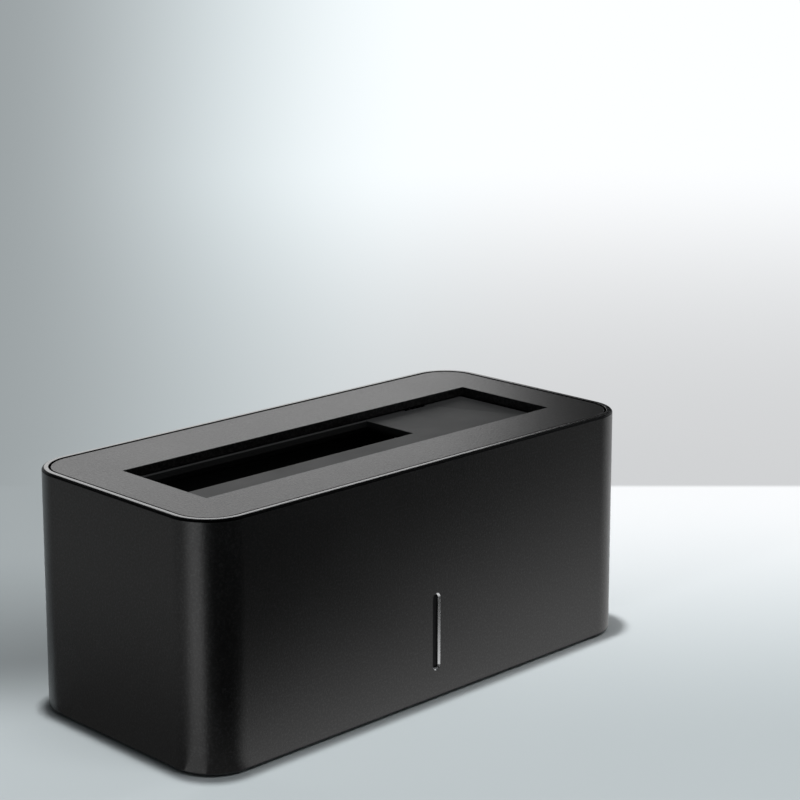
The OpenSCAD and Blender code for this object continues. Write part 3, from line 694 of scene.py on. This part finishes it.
def eased(piece, width):
    """Breaks the sharp edges of a piece by a small round"""
    bevel = piece.modifiers.new("eased edges", "BEVEL")
    bevel.width = width
    bevel.segments = 2
    bevel.limit_method = "ANGLE"
    bevel.angle_limit = math.radians(35)
    bevel.harden_normals = True


def stand_in(piece, node):
    """The piece replaces a solid and rides with it"""
    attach(piece, BODY_OF[node])
    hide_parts(node)


def dress(node, ease):
    """Stands a smooth, eased copy in for a solid of the frame"""
    piece = welded_copy(node)
    smoothed(piece)
    if ease:
        eased(piece, ease)
    stand_in(piece, node)


# Pieces made by rule

# The shell's section: how far a corner lies out from the face, its height, and its round in mm.
# The first two rounds are the foot's and the rim's
SECTION = [
    (0.0, SHELL_LOW.z, 0.5),
    (0.0, SHELL_HIGH.z, 0.7),
    (-RIM, SHELL_HIGH.z, 0.08),
    (-RIM, PLATE_UNDER, 0.0),
    (-WALL, PLATE_UNDER, 0.1),
    (-WALL, BASE_TOP, 0.1),
    (-RIM, BASE_TOP, 0.0),
    (-RIM, SHELL_LOW.z, 0.1),
]


def make_shell():
    """The wall's section swept round the housing, with the slit and the rear window cut in"""
    s = Shape("swept_shell")
    width = s.size("Width", SHELL_HIGH.x - SHELL_LOW.x)
    depth = s.size("Depth", SHELL_HIGH.y - SHELL_LOW.y)
    radius = s.size("Corner radius", CORNER_R)
    bevel = s.size("Slit bevel", SLIT_BEVEL)
    slit_w = s.size("Slit width", SLIT_W)
    slit_h = s.size("Slit length", SLIT_H)

    arc_steps = 24
    x, y = s.rounded_place(s.index(), width, depth, radius, arc_steps, support=0.4 * MM)
    path = s.closed_path(4 * s.corner_points(arc_steps), s.vector(x, y))
    downwards = [(out, -height) for out, height, corner_round in reversed(SECTION)]
    rounds = [corner_round * MM for out, height, corner_round in reversed(SECTION)]
    wall = s.swept(path, s.outline(downwards, rounds, steps=7))

    face = SHELL_LOW.y
    back = -face
    past = 0.1 * MM
    slit_levels = [(face - past, bevel + past), (bevel + face, 0.0), (face + 2 * WALL, 0.0)]
    port_mouth = (back + past, PORT_EASE + past)
    port_levels = [(back - 2 * WALL, 0.0), (back - PORT_EASE, 0.0), port_mouth]
    slit = s.window(slit_w, slit_h, slit_w / 2, SLIT_MIDDLE, slit_levels, steps=10)
    port = s.window(PORT_W, PORT_H, PORT_R, PORT_MIDDLE, port_levels, steps=8)
    shell = s.made("outer_shell_swept", s.cut(wall, slit, port), FINISHES["shell_anodised"])
    stand_in(shell, "outer_shell")


def make_feet():
    """Four turned rubber feet with a moulded ring underneath"""
    s = Shape("turned_feet")
    low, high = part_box("rubber_feet")
    foot_r = 4.5 * MM
    ring_sink = 0.14 * MM
    radius = s.size("Foot radius", foot_r)
    profile = [
        (radius, high.z),
        (radius, 0.46 * MM),
        (radius - 0.03 * MM, 0.38 * MM),
        (radius - 0.12 * MM, 0.26 * MM),
        (foot_r - 0.38 * MM, 0.02 * MM),
        (foot_r - 0.50 * MM, 0.0),
        (3.3 * MM, 0.0),
        (3.2 * MM, ring_sink),
        (2.8 * MM, ring_sink),
        (2.7 * MM, 0.0),
    ]
    feet = s.at_four(s.turned(profile, 64), low, high, foot_r)
    stand_in(s.made("rubber_feet_turned", feet, FINISHES["foot_rubber"]), "rubber_feet")


# Radius and height of the head, radius and pitch of the thread, in mm
SCREWS = {
    "base_screws": (2.7, 0.9, 1.25, 0.8),
    "board_screws": (2.2, 1.1, 1.0, 0.7),
    "plate_screws": (2.9, 1.1, 0.82, 0.6),
}
THREAD_ROOT = 0.82


def make_screws(node, head_r, head_h, thread_r, pitch):
    """Pan-head screws with a cross recess and a rolled thread, their heads at the bottom"""
    s = Shape(node + "_turned")
    low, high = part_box(node)
    head = s.size("Head radius", head_r)
    thread = s.size("Thread radius", thread_r)
    core = thread * THREAD_ROOT
    seat = low.z + head_h
    profile = [
        (core * 0.45, high.z),
        (core, high.z - 0.5 * thread_r),
        (core, seat),
        (head - 0.06 * MM, seat),
        (head, seat - 0.06 * MM),
        (head, seat - 0.55 * head_h),
        (head * 0.97, seat - 0.75 * head_h),
        (head * 0.88, seat - 0.92 * head_h),
        (head * 0.74, low.z),
    ]
    arm_length, arm_width, arm_depth = 0.96 * head_r, 0.2 * head_r, 1.1 * head_h
    arm = s.block((arm_length, arm_width, arm_depth))
    cross = [s.shifted(arm, (0, 0, low.z), (0, 0, turn)) for turn in (0, QUARTER)]
    blank = s.cut(s.turned(profile, 40), *cross)

    per_turn = 18
    turns = (high.z - seat - 0.7 * thread_r) / pitch
    number = s.index()
    turn = number * (2 * math.pi / per_turn)
    height = number * (pitch / per_turn) + seat
    helix = s.vector(turn.cosine() * core, turn.sine() * core, height)
    ridge = s.swept(s.open_path(int(turns * per_turn), helix), s.circle(thread - core, sides=3))
    screws = s.at_four(s.joined(blank, ridge), low, high, head_r)
    stand_in(s.made(node + "_turned", screws, FINISHES[SLOT_OF[node]]), node)


CONTACT_PITCH = 1.27 * MM
DATA_CONTACTS = 7
POWER_CONTACTS = 15


def make_leaf_contacts():
    """Leaf springs in the upright connector, seven for data and fifteen for power"""
    s = Shape("leaf_contacts")
    low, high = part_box("sata_contacts")
    leaf_w = 0.6 * MM
    pitch = s.size("Pitch", CONTACT_PITCH)
    data_x = low.x + leaf_w / 2
    power_x = high.x - leaf_w / 2 - (POWER_CONTACTS - 1) * CONTACT_PITCH

    # How far a corner of the leaf lies out, its height over the tip, and its round, in mm
    bottom = (low.z - high.z) / MM
    leaf = [
        (0.0, bottom, 0.0), (0.3, bottom, 0.0), (0.3, -2.6, 0.9), (0.9, -1.4, 0.5),
        (0.3, 0.0, 0.1), (0.0, 0.0, 0.0), (0.5, -1.4, 0.4), (0.0, -2.4, 0.8),
    ]
    corners = [(low.y + out * MM, high.z + height * MM) for out, height, corner_round in leaf]
    rounds = [corner_round * MM for out, height, corner_round in leaf]
    spring = s.bar(corners, rounds, leaf_w, steps=5)
    number = s.index()
    in_power = number.over(DATA_CONTACTS - 0.6, DATA_CONTACTS - 0.4)
    x = data_x + number * pitch + in_power * (power_x - data_x - DATA_CONTACTS * pitch)
    springs = s.placed(spring, DATA_CONTACTS + POWER_CONTACTS, s.vector(x, 0.0))
    stand_in(s.made("sata_contacts_bowed", springs, FINISHES["contact_gold"]), "sata_contacts")


def make_chip_legs():
    """Bent leads round the four sides of the bridge chip"""
    s = Shape("chip_legs")
    low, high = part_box("bridge_chip")
    middle = (low + high) / 2
    per_side = 12
    # How far a corner of the lead lies out, its height over the board, and its round, in mm
    lead = [
        (-0.1, 0.5, 0.0), (0.35, 0.5, 0.1), (0.55, 0.0, 0.1), (1.0, 0.0, 0.0),
        (1.0, 0.14, 0.0), (0.64, 0.14, 0.1), (0.44, 0.64, 0.1), (-0.1, 0.64, 0.0),
    ]
    corners = [(out * MM, low.z + up * MM) for out, up, corner_round in lead]
    rounds = [corner_round * MM for out, up, corner_round in lead]
    leg = s.bar(corners, rounds, thickness=0.28 * MM, steps=3)
    number = s.index()
    side = (number / per_side).floor()
    along = (number - side * per_side - (per_side - 1) / 2) * s.size("Pitch", 0.62 * MM)
    out = s.size("Half width", high.x - middle.x)
    turn = side * QUARTER
    x = turn.cosine() * along - turn.sine() * out + middle.x
    y = turn.sine() * along + turn.cosine() * out + middle.y
    legs = s.placed(leg, 4 * per_side, s.vector(x, y), s.vector(0.0, 0.0, turn))
    piece = s.made("chip_legs", legs, FINISHES["pin_steel"])
    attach(piece, BODY_OF["bridge_chip"])


# Small parts on the board: place in millimetres, and 1 for those that lie across
SMALL_PARTS = [
    (-46, -20.5, 0), (-42, -20.5, 0), (-38, -20.5, 1), (-34, -20.5, 0), (-30, -20.5, 0),
    (-8, -21.5, 1), (6, -21.5, 1), (14, -20.5, 0), (18, -20.5, 0), (22, -20.5, 1),
    (26, -20.5, 0), (34, -20.5, 0), (38, -20.5, 1), (13, -13.5, 0), (17, -13.5, 0),
    (28, -12.0, 1), (28, -8.0, 1), (12, 2.0, 0), (16, 2.0, 0), (20, 2.0, 0),
    (-12, 20.5, 1), (-15, 20.5, 1), (12, 20.5, 1), (15, 20.5, 1),
]
PART_L, PART_W, PART_H = 1.6 * MM, 0.8 * MM, 0.5 * MM
CAP_SPAN = 0.35 * MM
CAP_LAP = 0.05 * MM
CAP_PROUD = 0.02 * MM


def make_small_parts(name, slot, caps):
    """The blocks of the small resistors and capacitors, or the soldered caps at their ends"""
    s = Shape(name)
    length = s.size("Length", PART_L)
    width = s.size("Width", PART_W)
    height = s.size("Height", PART_H)
    if caps:
        cap = s.block(s.vector(CAP_SPAN, width + 2 * CAP_PROUD, height + 2 * CAP_PROUD))
        ends = [s.vector((length - CAP_SPAN) * half, 0.0) for half in (-0.5, 0.5)]
        part = s.joined(*[s.shifted(cap, end) for end in ends])
    else:
        part = s.block(s.vector(length - 2 * (CAP_SPAN - CAP_LAP), width, height))
    number = s.index()
    level = BOARD_HIGH.z + PART_H / 2 + CAP_PROUD
    places = [s.vector(x * MM, y * MM, level) for x, y, across in SMALL_PARTS]
    turns = [s.vector(0.0, 0.0, across * QUARTER) for x, y, across in SMALL_PARTS]
    parts = s.placed(part, len(SMALL_PARTS), s.pick(number, places), s.pick(number, turns))
    piece = s.made(name, parts, FINISHES[slot])
    eased(piece, 0.05 * MM)
    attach(piece, BODY_OF["main_board"])


# The flap's torsion spring
WIRE_R = 0.25 * MM
COIL_R = 1.4 * MM
COIL_TURNS = 6
STEPS_PER_TURN = 24
BEND = 0.6 * MM
FIXED_LEG = 7.2 * MM
# How far the free leg's corners lie before the coil, and how far under its straight run
FREE_LEG = [(4.0 * MM, BEND / 2), (5.0 * MM, 0), (10.8 * MM, 0)]
UNDER_FLAP = 0.1 * MM
PUSH_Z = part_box("dust_flap")[1].z - FLAP_T - UNDER_FLAP - WIRE_R


def spring_route(start, end, hinge, wall_y):
    """The wire's middle: up the liner's wall, round the pin, and out under the flap"""
    enters = math.radians(-135)
    leaves = math.radians(-90) - 2 * math.pi * COIL_TURNS
    steps = STEPS_PER_TURN * COIL_TURNS
    coil = []
    for i in range(steps + 1):
        bearing = enters + (leaves - enters) * i / steps
        y = hinge.y + COIL_R * math.cos(bearing)
        z = hinge.z + COIL_R * math.sin(bearing)
        coil.append(Vector((start + (end - start) * i / steps, y, z)))
    first, last = coil[0], coil[-1]
    corner = Vector((start, wall_y, first.z - (wall_y - first.y)))
    fixed_leg = [
        corner - Vector((0, 0, FIXED_LEG)),
        corner - Vector((0, 0, BEND)),
        corner + Vector((0, -BEND, BEND)),
        (first + corner) / 2,
    ]
    leaves_coil = last - Vector((0, 1.0 * MM, 0))
    free_leg = [Vector((end, last.y - before, PUSH_Z - under)) for before, under in FREE_LEG]
    return fixed_leg + coil + [leaves_coil] + free_leg


def make_spring():
    """Round wire along its coil and two legs"""
    low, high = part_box("flap_spring")
    pin_low, pin_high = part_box("hinge_pin")
    hinge = (pin_low + pin_high) / 2
    start = low.x + WIRE_R
    end = high.x - WIRE_R
    places = spring_route(start, end, hinge, high.y - WIRE_R)
    path = bpy.data.curves.new("spring_path", "CURVE")
    path.dimensions = "3D"
    line = path.splines.new("POLY")
    line.points.add(len(places) - 1)
    for point, place in zip(line.points, places):
        point.co = (*place, 1)
    s = Shape("spring_wire")
    _, route = s.inlet_of("Path", "NodeSocketGeometry")
    wire = s.circle(s.size("Wire radius", WIRE_R), sides=12)
    spring = s.swept(s.filleted(route, 0.4 * MM, steps=3), wire)
    piece = s.made("flap_spring_wound", spring, FINISHES["spring_steel"], path=path)
    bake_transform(piece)
    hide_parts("flap_spring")


make_shell()
make_feet()
for name, sizes in SCREWS.items():
    make_screws(name, *[size * MM for size in sizes])
make_leaf_contacts()
make_chip_legs()
make_small_parts("part_blocks", "chip_black", caps=False)
make_small_parts("part_ends", "pin_steel", caps=True)
make_spring()

# Copies of solids, and how much their edges are eased
EASED = {
    "top_plate": 0.12 * MM,
    "dust_flap": 0.15 * MM,
    "rear_panel": 0.1 * MM,
    "power_button": 0.0,
    "usb_socket_core": 0.08 * MM,
    "usb_socket_shell": 0.05 * MM,
    "jack_housing": 0.12 * MM,
    "sata_receptacle": 0.1 * MM,
    "base_plate": 0.12 * MM,
    "light_guide": 0.05 * MM,
}
BY_RULE = {"outer_shell", "rubber_feet", "sata_contacts", "flap_spring", *SCREWS}

for name, width in EASED.items():
    dress(name, width)

# The other solids stay as they are and only get their finish
for name, node in frame["nodes"].items():
    if name not in EASED and name not in BY_RULE:
        for place in node.material_slots:
            place.material = FINISHES[SLOT_OF[name]]


# Floor, backdrop and light

# Cosine and sine of the picture's bearing, the camera's distance over the floor, and where the
# painted horizon lies behind the middle
VIEW_COS, VIEW_SIN = 0.713, 0.701
CAMERA_AWAY = 0.488
HORIZON = 0.144
FLOOR_HALF = 4.0

# How far out the cards on the floor reach, and how high they lie
FAR = 0.60
CARD_LEVEL = 1 * MM

# The axis of the front left corner, and the edges of its painted bright reflection band, at its face
# and far out
AXIS = (SHELL_LOW.x + CORNER_R, SHELL_LOW.y + CORNER_R)
BAND_LEFT, BAND_LEFT_OUT = (-0.0668, -0.0232), (-FAR, 0.121)
BAND_RIGHT, BAND_RIGHT_OUT = (-0.0645, -0.0278), (-0.4274, -0.2391)

# Beside the back end of the left wall
WALL_END = [(-0.070, 0.03), (-0.0668, 0.0187)]

BLACK_CARD = 0.02
CURTAIN_R = 0.8
CURTAIN_PANELS = 24
CURTAIN_SILL = 0.36
CEILING = 1.3
LAMP_AIM = Vector((0, 0, 0.03))


def stage_sheet(name, corners, material, faces=None):
    mesh = bpy.data.meshes.new(name)
    mesh.from_pydata(corners, [], faces or [tuple(range(len(corners)))])
    mesh.materials.append(material)
    sheet = linked(name, mesh)
    return sheet


def on_floor(height, *places):
    return [(*place, height) for place in places]


def upright(start, end, low, high):
    """The corners of an upright card over a line on the floor"""
    return on_floor(low, start, end) + on_floor(high, end, start)


def seen_directly(tree):
    """1 for what the camera sees, also mirrored or through glass, and 0 for the light on things"""
    ray = tree.add("ShaderNodeLightPath", output="Is Camera Ray")
    return ray.at_least(ray.out("Is Glossy Ray")).at_least(ray.out("Is Transmission Ray"))


def glow_sheet(name, corners, paint, faces=None):
    """A studio card that shows only in reflections: a painted reflection that lights nothing and
    casts no shadow. Paint gives its level from x, y and z
    """
    f = Finish(name)
    f.plug(f.surface, f.emission(Color=paint(*f.axes()), Strength=1.0))
    f.tree.nodes.remove(f.shader)
    sheet = stage_sheet(name, corners, f.material, faces)
    sheet.visible_camera = False
    sheet.visible_diffuse = False
    sheet.visible_shadow = False
    sheet.visible_transmission = False


def make_floor():
    """Pale floor with a painted light that brightens the back right, and a painted shadow beside and
    behind the left end. Away from the object its colour shows as written
    """
    f = Finish("floor_pale")
    x, y, z = f.axes()
    side = x * VIEW_COS - y * VIEW_SIN
    depth = x * VIEW_SIN + y * VIEW_COS
    fan = side / (depth + CAMERA_AWAY).at_least(0.05)
    # Painted light: near the object the floor brightens towards the back right
    near_right_painted_light = depth.level(0.55, (-0.05, 0.14, 0.44))
    # Painted shadow: a dark dip beside and behind the left end, lighter again further back
    near_left_painted_shadow = depth.level(0.55, (-0.040, 0.004, -0.305), (0.004, 0.085, 0.135))
    near = near_left_painted_shadow.towards(near_right_painted_light, side.over(-0.075, 0.05))
    # Painted light: far out the floor is darker on the left and brighter towards the back right
    far = 0.355 + depth.level(0.295, (0.12, 0.85, 0.35)) * fan.over(-0.19, 0.02)
    tone = near.towards(far, depth.over(HORIZON, HORIZON + 4 * MM))
    to_the_right = fan.over(-0.1, 0.1) * depth.over(-0.05, 0.15)
    tint = f.mix(to_the_right, (0.93, 1.02, 1.05, 1), (0.985, 1.0, 1.015, 1))
    colour = f.mix(tone, (0, 0, 0, 1), tint)
    f.shade(base_color=colour, roughness=0.8)
    lit = Value(f, f.shader.outputs["BSDF"])
    away = (x * x + y * y).root().over(0.11, 0.24)
    share = away * seen_directly(f)
    as_written = f.emission(Color=colour, Strength=1.0)
    f.plug(f.surface, f.add("ShaderNodeMixShader", {}, [share, lit, as_written]))
    half = FLOOR_HALF
    corners = on_floor(0, (-half, -half), (half, -half), (half, half), (-half, half))
    stage_sheet("floor", corners, f.material)


def behind(x, y, z):
    """Painted reflection for the plate and the rim: bright on the left, and out before the right end
    of the plate
    """
    return x.level(1.18, (0.240, 0.308, -1.16))


# Painted dark reflection for the left wall: the mirrored floor is darkest next to the wall, as if in
# shade
def dark_left(x, y, z):
    return (SHELL_LOW.x - x).level(0.095, (0, 0.075, 0.14))


def band_of_the_corner(x, y, z):
    """Painted reflection: the bright band of the front left corner, soft on its left side"""
    across, inwards = x - AXIS[0], y - AXIS[1]
    away = (across * across + inwards * inwards).root()
    bright = away.level(0.52, (0, 0.09, 0.39))
    leftwards = (y - BAND_LEFT[1]) / (BAND_LEFT[0] - x).at_least(0.5 * MM)
    return bright.towards(dark_left(x, y, z), leftwards.over(-0.1, 0.27))


def dark_front(x, y, z):
    """Painted reflection for the front wall: the mirrored floor's light fades with the distance from
    the front wall, sooner towards the left
    """
    out = AXIS[1] - y
    reach = (x * 0.58 + 0.080).at_least(0.02)
    gone = (out - 0.5 * MM) / reach
    slope = (x - AXIS[0]) / out.at_least(1 * MM)
    clear = (slope + out.level(0.3, (0, 0.035, -0.3))).over(0.02, 0.42)
    floor_light = gone.level(0.7, (0, 1, -0.7))
    beside_band = out.level(0.13, (0, 0.045, -0.13))
    return floor_light * clear + 0.015 + beside_band * (1 - clear)


def hang_curtain(name, start, end, low, high):
    """A black curtain on a round rail from one bearing to another, seen only in reflections, so that
    the rim mirrors dark: a painted dark reflection
    """
    hooks = CURTAIN_PANELS + 1
    bearings = [math.radians(start + (end - start) * i / CURTAIN_PANELS) for i in range(hooks)]
    rail = [(CURTAIN_R * math.cos(turn), CURTAIN_R * math.sin(turn)) for turn in bearings]
    faces = [(i, i + 1, i + 1 + hooks, i + hooks) for i in range(CURTAIN_PANELS)]
    corners = on_floor(low, *rail) + on_floor(high, *rail)
    glow_sheet(name, corners, lambda x, y, z: BLACK_CARD * (1 + z), faces)


def area_lamp(name, place, size, power):
    """A soft square lamp, left out of reflections, which come from the cards"""
    data = bpy.data.lights.new(name, "AREA")
    data.shape = "SQUARE"
    data.size = size
    data.energy = power
    lamp = bpy.data.objects.new(name, data)
    lamp.location = place
    lamp.rotation_euler = (LAMP_AIM - Vector(place)).to_track_quat("-Z", "Y").to_euler()
    lamp.visible_glossy = False
    bpy.context.scene.collection.objects.link(lamp)


def make_world():
    """A plain pale world, dim as a light and as pale as its colour where it is seen"""
    dim, plain = 0.1, 1.0
    world = bpy.data.worlds.new("studio")
    world.use_nodes = True
    bpy.context.scene.world = world
    tree = Tree(world.node_tree)
    backdrop = world.node_tree.nodes["Background"]
    backdrop.inputs["Color"].default_value = (0.86, 0.90, 0.93, 1)
    tree.plug(backdrop.inputs["Strength"], seen_directly(tree) * (plain - dim) + dim)


def make_cards():
    """The flags and glowing cards that the shell and the plate mirror: painted reflections and
    painted highlights, which light nothing
    """
    above = on_floor(CEILING, (-0.9, -0.9), (0.05, -0.9), (0.05, 0.05), (-0.9, 0.05))
    at_back = upright((0.0, 0.20), (0.60, 0.20), 0.0, 0.22)
    at_right = upright((0.35, -0.14), (0.35, 0.0), 0.09, 0.26)
    # Painted reflections: a dark one overhead, a bright one behind, and a painted highlight from the
    # right on the slit's bevel
    glow_sheet("flag_above", above, lambda x, y, z: grey(BLACK_CARD))
    glow_sheet("glow_behind", at_back, behind)
    glow_sheet("glow_right", at_right, lambda x, y, z: grey(1.3))
    band = [BAND_LEFT, BAND_RIGHT, BAND_RIGHT_OUT, (-FAR, -0.10), BAND_LEFT_OUT]
    left = [BAND_LEFT, BAND_LEFT_OUT, (-FAR, FAR), (-FAR / 2, FAR), *WALL_END]
    front = [BAND_RIGHT, AXIS, (0.40, AXIS[1]), (FAR, -FAR), (-0.50, -FAR), BAND_RIGHT_OUT]
    # Painted reflections on the floor: the corner's bright band, and dark ones for the left and the
    # front wall
    glow_sheet("glow_left_front", on_floor(CARD_LEVEL, *band), band_of_the_corner)
    glow_sheet("flag_left", on_floor(CARD_LEVEL, *left), dark_left)
    glow_sheet("flag_front", on_floor(CARD_LEVEL, *front), dark_front)


make_floor()
make_world()
area_lamp("overhead", (-0.022, 0.016, 1.2), size=0.06, power=11.0)
area_lamp("front_fill", (0.10, -0.55, 0.95), size=0.4, power=2.6)
hang_curtain("curtain_high", 0, 360, CURTAIN_SILL, CEILING)
hang_curtain("curtain_front", 205, 325, 0.0, CURTAIN_SILL)
hang_curtain("curtain_left", 105, 180, 0.0, CURTAIN_SILL)
make_cards()

bpy.context.scene.view_settings.view_transform = "Standard"
